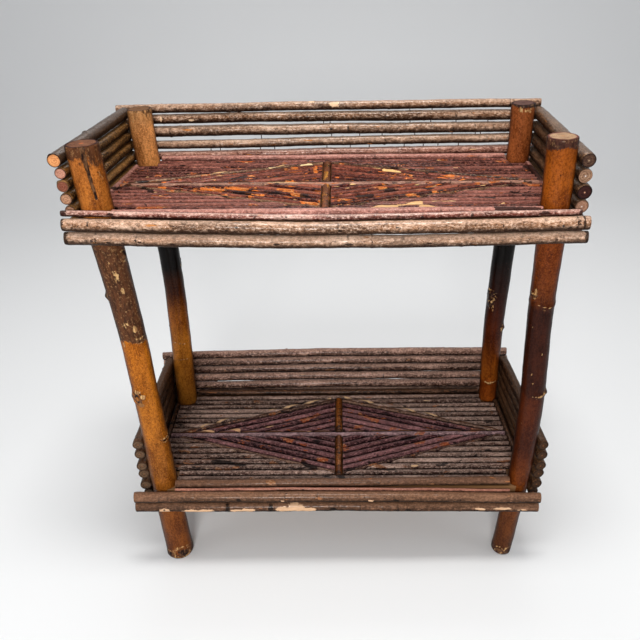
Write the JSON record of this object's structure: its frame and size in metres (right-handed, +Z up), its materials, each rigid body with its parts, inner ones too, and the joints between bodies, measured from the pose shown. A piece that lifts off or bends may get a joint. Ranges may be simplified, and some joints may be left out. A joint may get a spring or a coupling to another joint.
{
  "type": "rustic twig side table",
  "caption": "Side table on crooked pole legs with an open tray top and a low shelf, both faced with split twigs round a long diamond and fenced by stacked round rails.",
  "frame": {"origin": "on the floor, midway between the poles", "axes": "+X to the table's right, +Y to its back, +Z up"},
  "size_m": [0.6672, 0.298, 0.717],
  "materials": {
    "pole_wood": "satin",
    "rail_bark": "satin",
    "trim_bark": "satin",
    "border_bark": "satin",
    "field_bark": "satin",
    "diamond_bark": "satin",
    "cross_bark": "satin",
    "board_pine": "satin"
  },
  "bodies": {
    "root": {"pole_back_left": "pole_wood", "pole_back_right": "pole_wood", "pole_front_left": "pole_wood", "pole_front_right": "pole_wood", "shelf_back_apron": "rail_bark", "shelf_back_rail_1": "rail_bark", "shelf_back_rail_2": "rail_bark", "shelf_back_rail_3": "rail_bark", "shelf_back_rail_4": "rail_bark", "shelf_back_rail_5": "rail_bark", "shelf_board": "board_pine", "shelf_border_twigs": "border_bark", "shelf_cross_twigs": "cross_bark", "shelf_diamond_left_twigs": "diamond_bark", "shelf_diamond_right_twigs": "diamond_bark", "shelf_field_twigs": "field_bark", "shelf_front_rail_bottom": "rail_bark", "shelf_front_rail_top": "rail_bark", "shelf_front_trim": "trim_bark", "shelf_left_apron": "rail_bark", "shelf_left_rail_1": "rail_bark", "shelf_left_rail_2": "rail_bark", "shelf_left_rail_3": "rail_bark", "shelf_left_rail_4": "rail_bark", "shelf_left_rail_5": "rail_bark", "shelf_long_twig": "diamond_bark", "shelf_right_apron": "rail_bark", "shelf_right_rail_1": "rail_bark", "shelf_right_rail_2": "rail_bark", "shelf_right_rail_3": "rail_bark", "shelf_right_rail_4": "rail_bark", "shelf_right_rail_5": "rail_bark", "tray_back_apron": "rail_bark", "tray_back_rail_1": "rail_bark", "tray_back_rail_2": "rail_bark", "tray_back_rail_3": "rail_bark", "tray_back_rail_4": "rail_bark", "tray_board": "board_pine", "tray_border_twigs": "border_bark", "tray_cross_twigs": "cross_bark", "tray_diamond_left_twigs": "diamond_bark", "tray_diamond_right_twigs": "diamond_bark", "tray_field_twigs": "field_bark", "tray_front_rail_bottom": "rail_bark", "tray_front_rail_top": "rail_bark", "tray_front_trim": "trim_bark", "tray_left_apron": "rail_bark", "tray_left_rail_1": "rail_bark", "tray_left_rail_2": "rail_bark", "tray_left_rail_3": "rail_bark", "tray_left_rail_4": "rail_bark", "tray_long_twig": "diamond_bark", "tray_right_apron": "rail_bark", "tray_right_rail_1": "rail_bark", "tray_right_rail_2": "rail_bark", "tray_right_rail_3": "rail_bark", "tray_right_rail_4": "rail_bark"}
  },
  "joints": []
}
